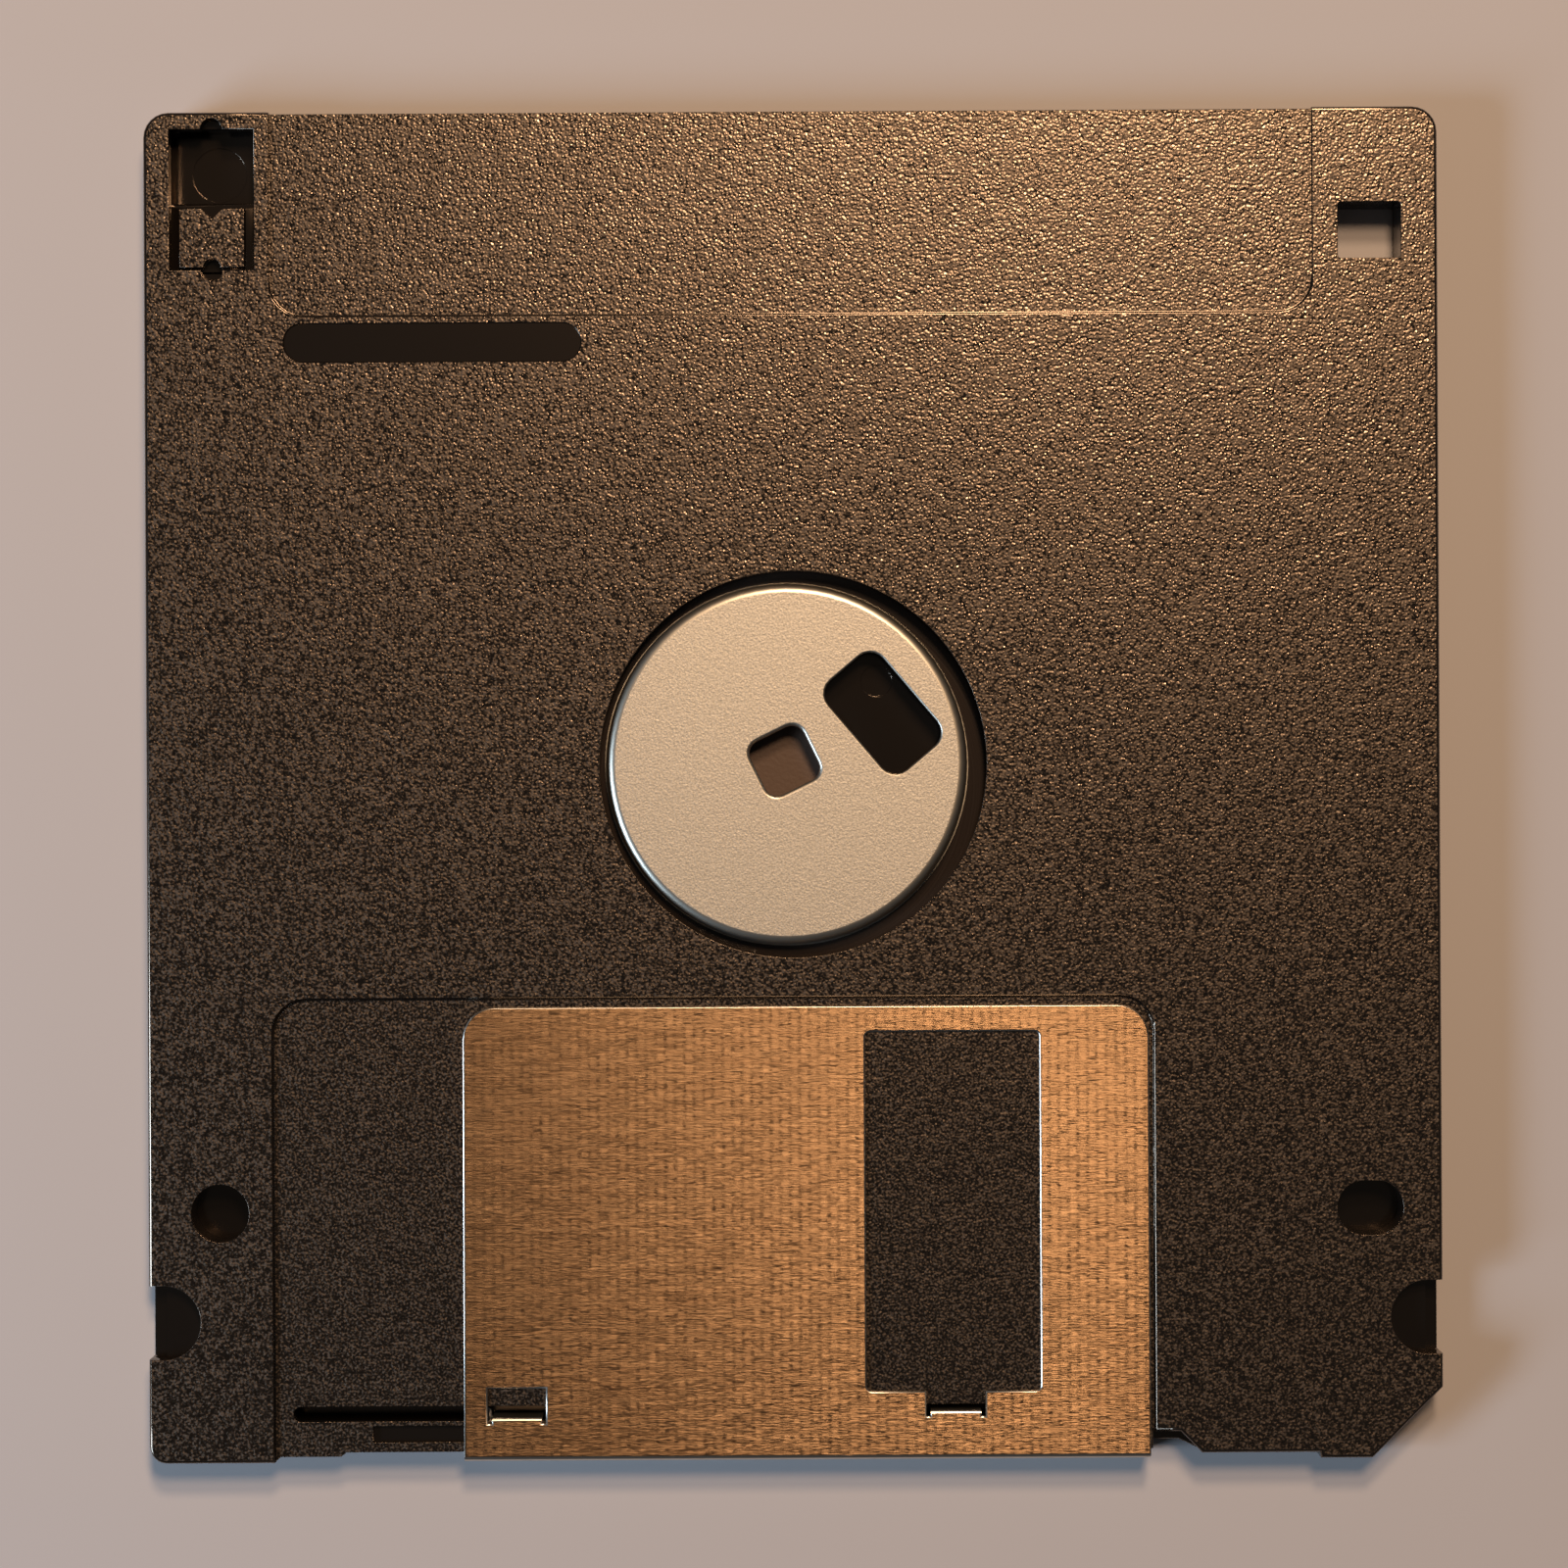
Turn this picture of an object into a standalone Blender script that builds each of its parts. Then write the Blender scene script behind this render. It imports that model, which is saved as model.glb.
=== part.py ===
"""A 3.5 inch flexible disk in its rigid cartridge.

Lengths are in metres and +Z is up. The cartridge lies on its label side, with
the hub side up. The origin is the middle of its footprint, +Y points to the
label end, and -Y to the shutter end, which enters the drive first.
"""

import cmath
import math

import bmesh
import bpy
from mathutils import Matrix, Vector

# Clearances
SEAT_GAP = 0.00002
SEAM_GAP = 0.00005
SLIDE_GAP = 0.00003
OVERCUT = 0.001

# Disc, hub and the stack between the two panels
DISC_RADIUS = 0.0430
DISC_THICKNESS = 0.00008
ADHESIVE_THICKNESS = 0.00007
ADHESIVE_INSET = 0.0002
HUB_RADIUS = 0.0126
HUB_SHEET = 0.0003
HUB_RIM_RADIUS = 0.0007
HUB_FACE_DEPTH = 0.0002
HUB_OPENING_GAP = 0.00086
HUB_FLANGE_CATCH = 0.00134
DISC_HOLE_GAP = 0.00012
HUB_FLOAT = 0.00006
DISC_FREE_HEIGHT = 0.00048
LINER_THICKNESS = 0.00022
LINER_HUB_GAP = 0.0007
LINER_RIM_GAP = 0.0004
LINER_SLOT_MARGIN = 0.0007
PANEL = 0.0009

# Square hole and drive slot of the hub
SPINDLE_HOLE = 0.0041
SPINDLE_HOLE_X = -0.00016
SPINDLE_HOLE_Y = 0.00024
SPINDLE_HOLE_CORNER = 0.0009
SPINDLE_HOLE_TURN = math.radians(26)
DRIVE_SLOT_LENGTH = 0.00815
DRIVE_SLOT_WIDTH = 0.0050
DRIVE_SLOT_CORNER = 0.0012
DRIVE_SLOT_RADIUS = 0.00757
DRIVE_SLOT_ANGLE = math.radians(27.7)
DRIVE_SLOT_TURN = math.radians(-49.8)

# Pocket of the disc, and the walls from it to the edges of the case
POCKET_CLEARANCE = 0.0005
POCKET_REST_GAP = 0.00006
RING_WALL = 0.0009
SIDE_WALL = 0.0015
REAR_WALL = 0.00205
EDGE_WALL = 0.0010

# Strips in front of the ring wall, from the ring to the front edge
GROOVE_BACKING = 0.00018
GROOVE_WIDTH = 0.00102
GROOVE_STRIP = 0.00035
RAIL_POCKET_WIDTH = 0.0011
FRONT_RAIL = 0.0014
RAIL_POCKET_DEPTH = 0.0003

# Outline of the case
REAR_CORNER = 0.00175
FRONT_CORNER = 0.0012
KEY_CORNER = 0.0049
EDGE_ROUND = 0.00035
SEAM_CHAMFER = 0.0001
RIGHT_LAND = 0.0036
LEVER_NOTCH_WIDTH = 0.0019
LEVER_NOTCH_DEPTH = 0.0019
LEVER_NOTCH_LIP = 0.0008
LEVER_NOTCH_SLOPE = 0.0015
EDGE_RELIEF = 0.0004
FOLD_RELIEF = 0.0007
RELIEF_RUN = 0.0042

# Head window and shutter
HEAD_WINDOW_WIDTH = 0.0090
WINDOW_BRIDGE = 0.00579
WINDOW_RIM = 0.00045
SHUTTER_SHEET = 0.0002
SHUTTER_SINK = 0.00004
SHUTTER_TRAVEL = 0.0120
SHUTTER_WINDOW_WIDTH = 0.0121
SHUTTER_WINDOW_LAP = 0.0004
SHUTTER_WINDOW_MARGIN = 0.0006
SHUTTER_WINDOW_CORNER = 0.00035
SHUTTER_LEFT_WING = 0.0280
SHUTTER_RIGHT_WING = 0.00765
SHUTTER_TOP_MARGIN = 0.00243
SHUTTER_CORNER = 0.0022
SHUTTER_FOLD_RADIUS = 0.0002
SHUTTER_RECESS_LEFT = 0.0012
SHUTTER_RECESS_RIGHT = 0.00035
SHUTTER_RECESS_TOP = 0.0006

# Lanced tabs of the shutter, and the groove that they run in
LEFT_TAB_INSET = 0.00163
LEFT_TAB_WIDTH = 0.00404
LEFT_TAB_OPENING = 0.0020
RIGHT_TAB_INSET = 0.00415
RIGHT_TAB_WIDTH = 0.0041
RIGHT_TAB_STEP = 0.00037
TAB_RELIEF_WIDTH = 0.0003
TAB_RELIEF_DEPTH = 0.00015
TAB_DROP = 0.0017
TAB_BEND = 0.0001
TAB_GROOVE_GAP = 0.00007
GROOVE_END_ROOM = 0.0015

# Write-protect tab with its window, and the density hole
HOLE_WIDTH = 0.00438
HOLE_LENGTH = 0.0039
HOLE_CORNER = 0.0002
TAB_PLATE_LAP = 0.00045
TAB_PLATE_FLANGE = 0.00065
TAB_SIDE_PLAY = 0.00015
TAB_WINDOW_WIDTH = 0.0059
TAB_END_ROOM = 0.0004
TAB_WINDOW_END = 0.0002
TAB_NOTCH_RADIUS = 0.00075
TAB_PAD_INSET = 0.00068
TAB_PAD_FRONT_MARGIN = 0.0002
TAB_PAD_REAR_MARGIN = 0.0005
TAB_PAD_SINK = 0.00015
TAB_PAD_VEE_WIDTH = 0.0015
TAB_PAD_VEE_DEPTH = 0.0007
TAB_PAD_SCOOP = 0.0006
GUIDE_RIB = 0.0007

# Recesses in the outer faces
LABEL_RECESS_DEPTH = 0.0002
LABEL_RECESS_GAP = 0.0010
LABEL_RECESS_CORNER = 0.0024
BACK_LABEL_LENGTH = 0.01425
FRONT_LABEL_LENGTH = 0.0540
LABEL_EDGE_DEPTH = 0.00015
STRIPE_GAP = 0.0005
STRIPE_WIDTH = 0.0027
STRIPE_LENGTH = 0.0207
STRIPE_DEPTH = 0.0001

# Locating holes, handling notches, posts
DATUM_INSET = 0.0050
DATUM_FROM_FRONT = 0.0174
DATUM_RADIUS = 0.0020
DATUM_SLOT_LENGTH = 0.00457
DATUM_SLOT_WIDTH = 0.00375
DATUM_WALL = 0.0009
NOTCH_RADIUS = 0.00257
NOTCH_INSET = 0.00105
NOTCH_FROM_FRONT = 0.0098
NOTCH_DEPTH = 0.0011
NOTCH_WALL = 0.0007
NOTCH_STEP = 0.00025
POST_RADIUS = 0.0008
POST_PLAY = 0.0001
SOCKET_WALL = 0.0008
SOCKET_DEPTH = 0.0005
POST_RING_ROOM = 0.0016
EJECTOR_DEPTH = 0.00005
CORNER_EJECTOR_RADIUS = 0.0019
CORNER_EJECTOR_INSET = 0.00497
CORNER_EJECTOR_GAP = 0.00005
SLOT_EJECTOR_RADIUS = 0.0011
SLOT_EJECTOR_X = 0.00632
SLOT_EJECTOR_Y = 0.00581

# Liner lifter, wear pad and spring
LIFTER_LENGTH = 0.0160
LIFTER_WIDTH = 0.0120
LIFTER_SHEET = 0.00015
LIFTER_PLAY = 0.0002
LIFTER_FROM_WINDOW = 0.0050
PAD_RADIUS = 0.0046
PAD_THICKNESS = 0.00015
WIRE_RADIUS = 0.0002
COIL_RADIUS = 0.0011
COIL_GAP = 0.0001
SPRING_HEIGHT = 0.0057
SPRING_HOOK = 0.0009
SPRING_WALL_ROOM = 0.0009

# Heights that follow from the stack
FLOOR = PANEL
LOWER_LINER = FLOOR + SEAT_GAP
HUB_BASE = LOWER_LINER + LINER_THICKNESS + HUB_FLOAT
ADHESIVE_BASE = HUB_BASE + HUB_SHEET + SEAT_GAP / 2
DISC_BASE = ADHESIVE_BASE + ADHESIVE_THICKNESS + SEAT_GAP
UPPER_LINER = DISC_BASE + DISC_THICKNESS + DISC_FREE_HEIGHT
CEILING = UPPER_LINER + LINER_THICKNESS + SEAT_GAP
THICKNESS = CEILING + PANEL
SEAM_LOW = THICKNESS / 2 - SEAM_GAP / 2
SEAM_HIGH = THICKNESS / 2 + SEAM_GAP / 2
HUB_TOP = THICKNESS - HUB_FACE_DEPTH
SHUTTER_DEPTH = SHUTTER_SINK + SHUTTER_SHEET + SLIDE_GAP

# Places in plan that follow from the disc and the walls
POCKET_RADIUS = DISC_RADIUS + POCKET_CLEARANCE
RING_RADIUS = POCKET_RADIUS + RING_WALL
FRONT_WALLS = (RING_WALL + GROOVE_BACKING + GROOVE_WIDTH + GROOVE_STRIP
               + RAIL_POCKET_WIDTH + FRONT_RAIL)
WIDTH = 2 * (POCKET_RADIUS + SIDE_WALL)
LENGTH = 2 * POCKET_RADIUS + REAR_WALL + FRONT_WALLS
SIDE = WIDTH / 2
REAR = LENGTH / 2
FRONT = -LENGTH / 2
POCKET_Y = REAR - REAR_WALL - POCKET_RADIUS
HUB_X = -(POCKET_CLEARANCE - POCKET_REST_GAP)
HUB_Y = POCKET_Y
HUB_OPENING = HUB_RADIUS + HUB_OPENING_GAP
FLANGE_RADIUS = HUB_OPENING + HUB_FLANGE_CATCH
DISC_HOLE = HUB_RADIUS + DISC_HOLE_GAP
LINER_HOLE = FLANGE_RADIUS + LINER_HUB_GAP
LINER_RADIUS = POCKET_RADIUS - LINER_RIM_GAP

# Shutter and head window in plan
HEAD_HALF = HEAD_WINDOW_WIDTH / 2
HEAD_TOP = POCKET_Y - HUB_OPENING - WINDOW_BRIDGE
HEAD_BOTTOM = POCKET_Y - POCKET_RADIUS + WINDOW_RIM
WINDOW_LEFT = HEAD_HALF + SHUTTER_WINDOW_LAP
WINDOW_RIGHT = WINDOW_LEFT + SHUTTER_WINDOW_WIDTH
WINDOW_TOP = HEAD_TOP + SHUTTER_WINDOW_MARGIN
WINDOW_BOTTOM = HEAD_BOTTOM - SHUTTER_WINDOW_MARGIN
SHUTTER_LEFT = WINDOW_LEFT - SHUTTER_LEFT_WING
SHUTTER_RIGHT = WINDOW_RIGHT + SHUTTER_RIGHT_WING
SHUTTER_TOP = HEAD_TOP + SHUTTER_TOP_MARGIN
SHUTTER_FRONT = FRONT + 0.25 * SHUTTER_SHEET
RECESS_LEFT = SHUTTER_LEFT - SHUTTER_TRAVEL - SHUTTER_RECESS_LEFT
RECESS_RIGHT = SHUTTER_RIGHT + SHUTTER_RECESS_RIGHT
RECESS_TOP = SHUTTER_TOP + SHUTTER_RECESS_TOP
GROOVE_TOP = POCKET_Y - RING_RADIUS - GROOVE_BACKING
GROOVE_BOTTOM = GROOVE_TOP - GROOVE_WIDTH
LEFT_TAB_X = SHUTTER_LEFT + LEFT_TAB_INSET
RIGHT_TAB_X = WINDOW_LEFT + RIGHT_TAB_INSET
GROOVE_LEFT = LEFT_TAB_X - SHUTTER_TRAVEL - GROOVE_END_ROOM
GROOVE_RIGHT = RIGHT_TAB_X + RIGHT_TAB_WIDTH + GROOVE_END_ROOM
RAIL_POCKET_TOP = GROOVE_BOTTOM - GROOVE_STRIP
RAIL_POCKET_BOTTOM = RAIL_POCKET_TOP - RAIL_POCKET_WIDTH
CHANNEL_FRONT = FRONT + FOLD_RELIEF + EDGE_WALL

# Write-protect corner in plan
INNER_SIDE = SIDE - EDGE_WALL
INNER_REAR = REAR - EDGE_WALL
PLATE_LENGTH = HOLE_LENGTH + 2 * TAB_PLATE_LAP
TAB_TRAVEL = PLATE_LENGTH
PLATE_LEFT = -INNER_SIDE + TAB_SIDE_PLAY
PLATE_RIGHT = PLATE_LEFT + TAB_WINDOW_WIDTH + 2 * TAB_PLATE_FLANGE
PLATE_BOTTOM = INNER_REAR - TAB_END_ROOM - TAB_TRAVEL - PLATE_LENGTH
TAB_WINDOW_LEFT = PLATE_LEFT + TAB_PLATE_FLANGE
TAB_WINDOW_RIGHT = PLATE_RIGHT - TAB_PLATE_FLANGE
TAB_WINDOW_TOP = INNER_REAR - TAB_WINDOW_END
HOLE_X = (TAB_WINDOW_LEFT + TAB_WINDOW_RIGHT) / 2
HOLE_Y = PLATE_BOTTOM + PLATE_LENGTH / 2
LABEL_HALF = -TAB_WINDOW_RIGHT - LABEL_RECESS_GAP


def clear_scene():
    for item in list(bpy.data.objects):
        bpy.data.objects.remove(item, do_unlink=True)
    for group in list(bpy.data.collections):
        bpy.data.collections.remove(group)


def new_collection(name):
    group = bpy.data.collections.new(name)
    bpy.context.scene.collection.children.link(group)
    return group


def put_in(group, item):
    for owner in list(item.users_collection):
        owner.objects.unlink(item)
    group.objects.link(item)


def plain_material(name, colour, roughness, metallic):
    made = bpy.data.materials.new(name)
    made.use_nodes = True
    surface = made.node_tree.nodes["Principled BSDF"]
    surface.inputs["Base Color"].default_value = (*colour, 1.0)
    surface.inputs["Roughness"].default_value = roughness
    surface.inputs["Metallic"].default_value = metallic
    made.diffuse_color = (*colour, 1.0)
    return made


def mesh_object(name, bm):
    """A new object in the cutters collection from a finished bmesh."""
    bmesh.ops.recalc_face_normals(bm, faces=bm.faces)
    mesh = bpy.data.meshes.new(name)
    bm.to_mesh(mesh)
    bm.free()
    made = bpy.data.objects.new(name, mesh)
    made.hide_render = True
    made.display_type = "WIRE"
    CUTTERS.objects.link(made)
    return made


def level(bm, low, high):
    """Put a raised shape's verts at exactly these two heights."""
    for vert in bm.verts:
        vert.co.z = high if vert.co.z > (low + high) / 2 else low


def box(name, left, right, bottom, top, low, high):
    middle = Vector((left + right, bottom + top, low + high)) / 2
    bm = bmesh.new()
    bmesh.ops.create_cube(bm, size=1, matrix=Matrix.Translation(middle))
    for vert in bm.verts:
        vert.co.x = right if vert.co.x > middle.x else left
        vert.co.y = top if vert.co.y > middle.y else bottom
        vert.co.z = high if vert.co.z > middle.z else low
    return mesh_object(name, bm)


def cylinder(name, x, y, radius, low, high, segments=48):
    place = Matrix.Translation((x, y, (low + high) / 2))
    bm = bmesh.new()
    bmesh.ops.create_cone(bm, cap_ends=True, segments=segments, radius1=radius,
                          radius2=radius, depth=high - low, matrix=place)
    level(bm, low, high)
    return mesh_object(name, bm)


def arc(x, y, radius, start, end, count):
    """Points on an arc, its two ends included; angles in degrees."""
    found = []
    for step in range(count + 1):
        angle = math.radians(start + (end - start) * step / count)
        found.append((x + radius * math.cos(angle), y + radius * math.sin(angle)))
    return found


def rounded(corners, steps=6):
    """A closed outline from corners (x, y, radius), each rounded by its radius."""
    found = []
    for index, (x, y, radius) in enumerate(corners):
        if radius <= 0:
            found.append((x, y))
            continue
        corner = complex(x, y)
        back = complex(*corners[index - 1][:2]) - corner
        ahead = complex(*corners[(index + 1) % len(corners)][:2]) - corner
        back = back / abs(back)
        ahead = ahead / abs(ahead)
        half = abs(cmath.phase(ahead / back)) / 2
        middle = (back + ahead) / abs(back + ahead)
        centre = corner + middle * radius / math.sin(half)
        first = corner + back * radius / math.tan(half) - centre
        last = corner + ahead * radius / math.tan(half) - centre
        sweep = cmath.phase(last / first)
        for step in range(steps + 1):
            point = centre + first * cmath.exp(1j * sweep * step / steps)
            found.append((point.real, point.imag))
    return found


def rounded_box(left, right, bottom, top, radius, steps=6):
    return rounded([(left, bottom, radius), (right, bottom, radius),
                    (right, top, radius), (left, top, radius)], steps)


def prism(name, points, low, high):
    """A flat outline raised from low to high: a filled curve made a mesh."""
    curve = bpy.data.curves.new(name, "CURVE")
    curve.dimensions = "2D"
    curve.fill_mode = "BOTH"
    curve.extrude = (high - low) / 2
    spline = curve.splines.new("POLY")
    spline.points.add(len(points) - 1)
    for point, (x, y) in zip(spline.points, points):
        point.co = (x, y, 0, 1)
    spline.use_cyclic_u = True
    source = bpy.data.objects.new(name + "_outline", curve)
    source.location.z = (low + high) / 2
    bpy.context.scene.collection.objects.link(source)
    bpy.context.view_layer.update()
    seen = source.evaluated_get(bpy.context.evaluated_depsgraph_get())
    mesh = bpy.data.meshes.new_from_object(seen)
    mesh.transform(source.matrix_world)
    bm = bmesh.new()
    bm.from_mesh(mesh)
    bmesh.ops.remove_doubles(bm, verts=bm.verts, dist=1e-7)
    bmesh.ops.dissolve_limit(bm, angle_limit=math.radians(0.2), verts=bm.verts,
                             edges=bm.edges)
    level(bm, low, high)
    bpy.data.objects.remove(source)
    bpy.data.meshes.remove(mesh)
    return mesh_object(name, bm)


def across(name, points, left, right):
    """A section drawn as (y, z) points, raised along X from left to right."""
    made = prism(name, points, left, right)
    turn = Matrix(((0, 0, 1, 0), (1, 0, 0, 0), (0, 1, 0, 0), (0, 0, 0, 1)))
    made.data.transform(turn)
    return made


def blend(target, tool, operation):
    """Note a Boolean for later: the outlines are all drawn before any is worked out."""
    PLANNED.append((target, tool.name, tool, operation))


def cut(target, *tools):
    for tool in tools:
        blend(target, tool, "DIFFERENCE")


def join(target, *tools):
    for tool in tools:
        blend(target, tool, "UNION")


def blend_all(target, title, tools, operation):
    """One Boolean for a whole set of tools, kept in a collection of their own."""
    group = bpy.data.collections.new(target.name + " " + title)
    CUTTERS.children.link(group)
    for tool in tools:
        put_in(group, tool)
    PLANNED.append((target, title, group, operation))


def add_booleans():
    """Put the noted Booleans on their pieces, in the order they were noted."""
    for target, title, tool, operation in PLANNED:
        modifier = target.modifiers.new(title, "BOOLEAN")
        if isinstance(tool, bpy.types.Collection):
            modifier.operand_type = "COLLECTION"
            modifier.collection = tool
        else:
            modifier.object = tool
        modifier.operation = operation
        modifier.solver = "EXACT"


def finish(item, material, sharp=35):
    """Turn a working solid into one of the cartridge's own pieces."""
    item.hide_render = False
    item.display_type = "TEXTURED"
    item.data.materials.clear()
    item.data.materials.append(material)
    item.data.shade_smooth()
    item.data.set_sharp_from_angle(angle=math.radians(sharp))
    put_in(PIECES, item)
    return item


def round_edges(item, height, width, segments):
    """Round the outline's edges that lie at one height of a raised outline."""
    bm = bmesh.new()
    bm.from_mesh(item.data)
    rim = [edge for edge in bm.edges
           if all(abs(v.co.z - height) < 1e-7 for v in edge.verts)]
    bmesh.ops.bevel(bm, geom=rim, offset=width, segments=segments, profile=0.5,
                    affect="EDGES", material=-1, clamp_overlap=True)
    bm.to_mesh(item.data)
    bm.free()


def carried(item, holder):
    """Hang an object on a holder; its own place is then measured from it."""
    item.parent = holder


def carried_in_place(item, holder):
    item.parent = holder
    item.matrix_parent_inverse = holder.matrix_world.inverted()


def axis_marker(name, x, y, z):
    marker = bpy.data.objects.new(name, None)
    marker.location = (x, y, z)
    marker.empty_display_size = 0.005
    PIECES.objects.link(marker)
    bpy.context.view_layer.update()
    return marker


def case_outline(notch_depth):
    """The case seen from above, with the relief that the shutter's fold runs in.

    notch_depth is how far the edge steps back where the drive's lever meets
    the shutter's right-hand end.
    """
    relief_end = RECESS_LEFT + EDGE_RELIEF + RELIEF_RUN
    notch_left = SHUTTER_RIGHT + SHUTTER_RECESS_RIGHT / 2
    notch_right = notch_left + LEVER_NOTCH_WIDTH
    land = SIDE - KEY_CORNER - RIGHT_LAND
    rest = FRONT + EDGE_RELIEF
    fold = FRONT + FOLD_RELIEF
    return rounded([
        (-SIDE, FRONT, FRONT_CORNER),
        (RECESS_LEFT, FRONT, 0),
        (RECESS_LEFT + EDGE_RELIEF, rest, 0),
        (relief_end, rest, 0),
        (relief_end + EDGE_RELIEF, fold, 0),
        (notch_left, fold, 0),
        (notch_left, FRONT + notch_depth, 0),
        (notch_right, FRONT + notch_depth, 0),
        (notch_right + LEVER_NOTCH_SLOPE, rest, 0),
        (land - EDGE_RELIEF / 4, rest, 0),
        (land, FRONT, 0),
        (SIDE - KEY_CORNER, FRONT, 0),
        (SIDE, FRONT + KEY_CORNER, 0),
        (SIDE, REAR, REAR_CORNER),
        (-SIDE, REAR, REAR_CORNER),
    ])


def corner_pocket(name, x_side, y_side, side_start, end_x, edge_y, low, high):
    """A hollow between the ring wall and one corner of the case.

    x_side and y_side are 1 or -1. The hollow runs along the side wall from
    side_start beyond the pocket's centre, and along edge_y as far as end_x.
    """
    side_angle = math.asin(side_start / RING_RADIUS)
    end_angle = math.acos(x_side * end_x / RING_RADIUS)
    ring = []
    steps = 20
    for step in range(steps + 1):
        angle = end_angle + (side_angle - end_angle) * step / steps
        ring.append((x_side * RING_RADIUS * math.cos(angle),
                     POCKET_Y + y_side * RING_RADIUS * math.sin(angle)))
    side_y = POCKET_Y + y_side * side_start
    corner = rounded([
        (ring[-1][0], side_y, 0),
        (x_side * INNER_SIDE, side_y, 0),
        (x_side * INNER_SIDE, edge_y, FRONT_CORNER),
        (end_x, edge_y, 0),
    ])
    return prism(name, ring[:-1] + corner, low, high)


def key_pocket(name, low, high):
    """The hollow behind the cut corner, which keeps the wall's thickness."""
    side_start = 0.3 * RING_RADIUS
    side_angle = math.asin(side_start / RING_RADIUS)
    left = 0.7 * RING_RADIUS
    end_angle = math.acos(left / RING_RADIUS)
    ring = []
    steps = 16
    for step in range(steps + 1):
        angle = end_angle + (side_angle - end_angle) * step / steps
        ring.append((RING_RADIUS * math.cos(angle),
                     POCKET_Y - RING_RADIUS * math.sin(angle)))
    back = EDGE_WALL * math.tan(math.radians(22.5))
    edge = FRONT + EDGE_RELIEF + EDGE_WALL
    points = ring + [
        (INNER_SIDE, POCKET_Y - side_start),
        (INNER_SIDE, FRONT + KEY_CORNER + back),
        (SIDE - KEY_CORNER - back + edge - FRONT - EDGE_WALL, edge),
        (left, edge),
    ]
    return prism(name, points, low, high)


def hollows(prefix, low, high):
    """The hollows of one shell: the disc's round pocket and the four corners."""
    start = 0.3 * RING_RADIUS
    middle = 0.35 * RING_RADIUS
    return [
        cylinder(prefix + "_disc_pocket", 0, POCKET_Y, POCKET_RADIUS, low, high, 96),
        corner_pocket(prefix + "_rear_left", -1, 1, start, -middle, INNER_REAR,
                      low, high),
        corner_pocket(prefix + "_rear_right", 1, 1, start, middle, INNER_REAR,
                      low, high),
        corner_pocket(prefix + "_spring_channel", -1, -1, start, GROOVE_RIGHT,
                      CHANNEL_FRONT, low, high),
        key_pocket(prefix + "_key_corner", low, high),
    ]


def hole_outline(x_side):
    """The square hole in one rear corner: write-protect at -1, density at 1."""
    x = -x_side * HOLE_X
    return rounded_box(x - HOLE_WIDTH / 2, x + HOLE_WIDTH / 2, HOLE_Y - HOLE_LENGTH / 2,
                       HOLE_Y + HOLE_LENGTH / 2, HOLE_CORNER, 2)


def density_wall(prefix, low, high):
    """The block that lines the density hole, and the hole through it."""
    x = -HOLE_X
    wall = box(prefix + "_density_wall", x - HOLE_WIDTH / 2 - GUIDE_RIB,
               x + HOLE_WIDTH / 2 + GUIDE_RIB, HOLE_Y - HOLE_LENGTH / 2 - GUIDE_RIB,
               HOLE_Y + HOLE_LENGTH / 2 + GUIDE_RIB, low, high)
    hole = prism(prefix + "_density_hole", hole_outline(1), -OVERCUT,
                 THICKNESS + OVERCUT)
    return wall, hole


def tab_ribs(prefix, low, high):
    """Two ribs that guide and stop the write-protect tab."""
    inner = PLATE_RIGHT + TAB_SIDE_PLAY
    stop = PLATE_BOTTOM - TAB_SIDE_PLAY
    guide = box(prefix + "_tab_guide", inner, inner + GUIDE_RIB, stop - GUIDE_RIB,
                INNER_REAR + EDGE_WALL / 3, low, high)
    end = box(prefix + "_tab_stop", -INNER_SIDE - EDGE_WALL / 3, inner + GUIDE_RIB / 2,
              stop - GUIDE_RIB, stop, low, high)
    return guide, end


def post_places():
    """Centres of the four welded posts, just outside the ring wall."""
    socket = POST_RADIUS + POST_PLAY + SOCKET_WALL
    reach = RING_RADIUS + POST_RING_ROOM + socket
    found = []
    for name, angle in (("rear_right", 53), ("rear_left", 127),
                        ("front_left", 226), ("front_right", 316)):
        turned = math.radians(angle)
        found.append((name, reach * math.cos(turned),
                      POCKET_Y + reach * math.sin(turned)))
    return found


def shutter_recess(name, low, high):
    corner = SHUTTER_CORNER + SHUTTER_RECESS_RIGHT / 2
    return prism(name, rounded([
        (RECESS_LEFT, FRONT - OVERCUT, 0),
        (RECESS_RIGHT, FRONT - OVERCUT, 0),
        (RECESS_RIGHT, RECESS_TOP, corner),
        (RECESS_LEFT, RECESS_TOP, corner),
    ]), low, high)


def label_recess(name, length, low, high):
    return prism(name, rounded([
        (-LABEL_HALF, REAR - length, LABEL_RECESS_CORNER),
        (LABEL_HALF, REAR - length, LABEL_RECESS_CORNER),
        (LABEL_HALF, REAR + OVERCUT, 0),
        (-LABEL_HALF, REAR + OVERCUT, 0),
    ]), low, high)


def label_edge(name):
    """The label wraps the rear edge, so that edge is set back as well."""
    return box(name, -LABEL_HALF, LABEL_HALF, REAR - LABEL_EDGE_DEPTH, REAR + OVERCUT,
               -OVERCUT, THICKNESS + OVERCUT)


def head_window(name):
    return prism(name, rounded_box(-HEAD_HALF, HEAD_HALF, HEAD_BOTTOM, HEAD_TOP,
                                   SHUTTER_WINDOW_CORNER, 3),
                 -OVERCUT, THICKNESS + OVERCUT)


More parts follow.
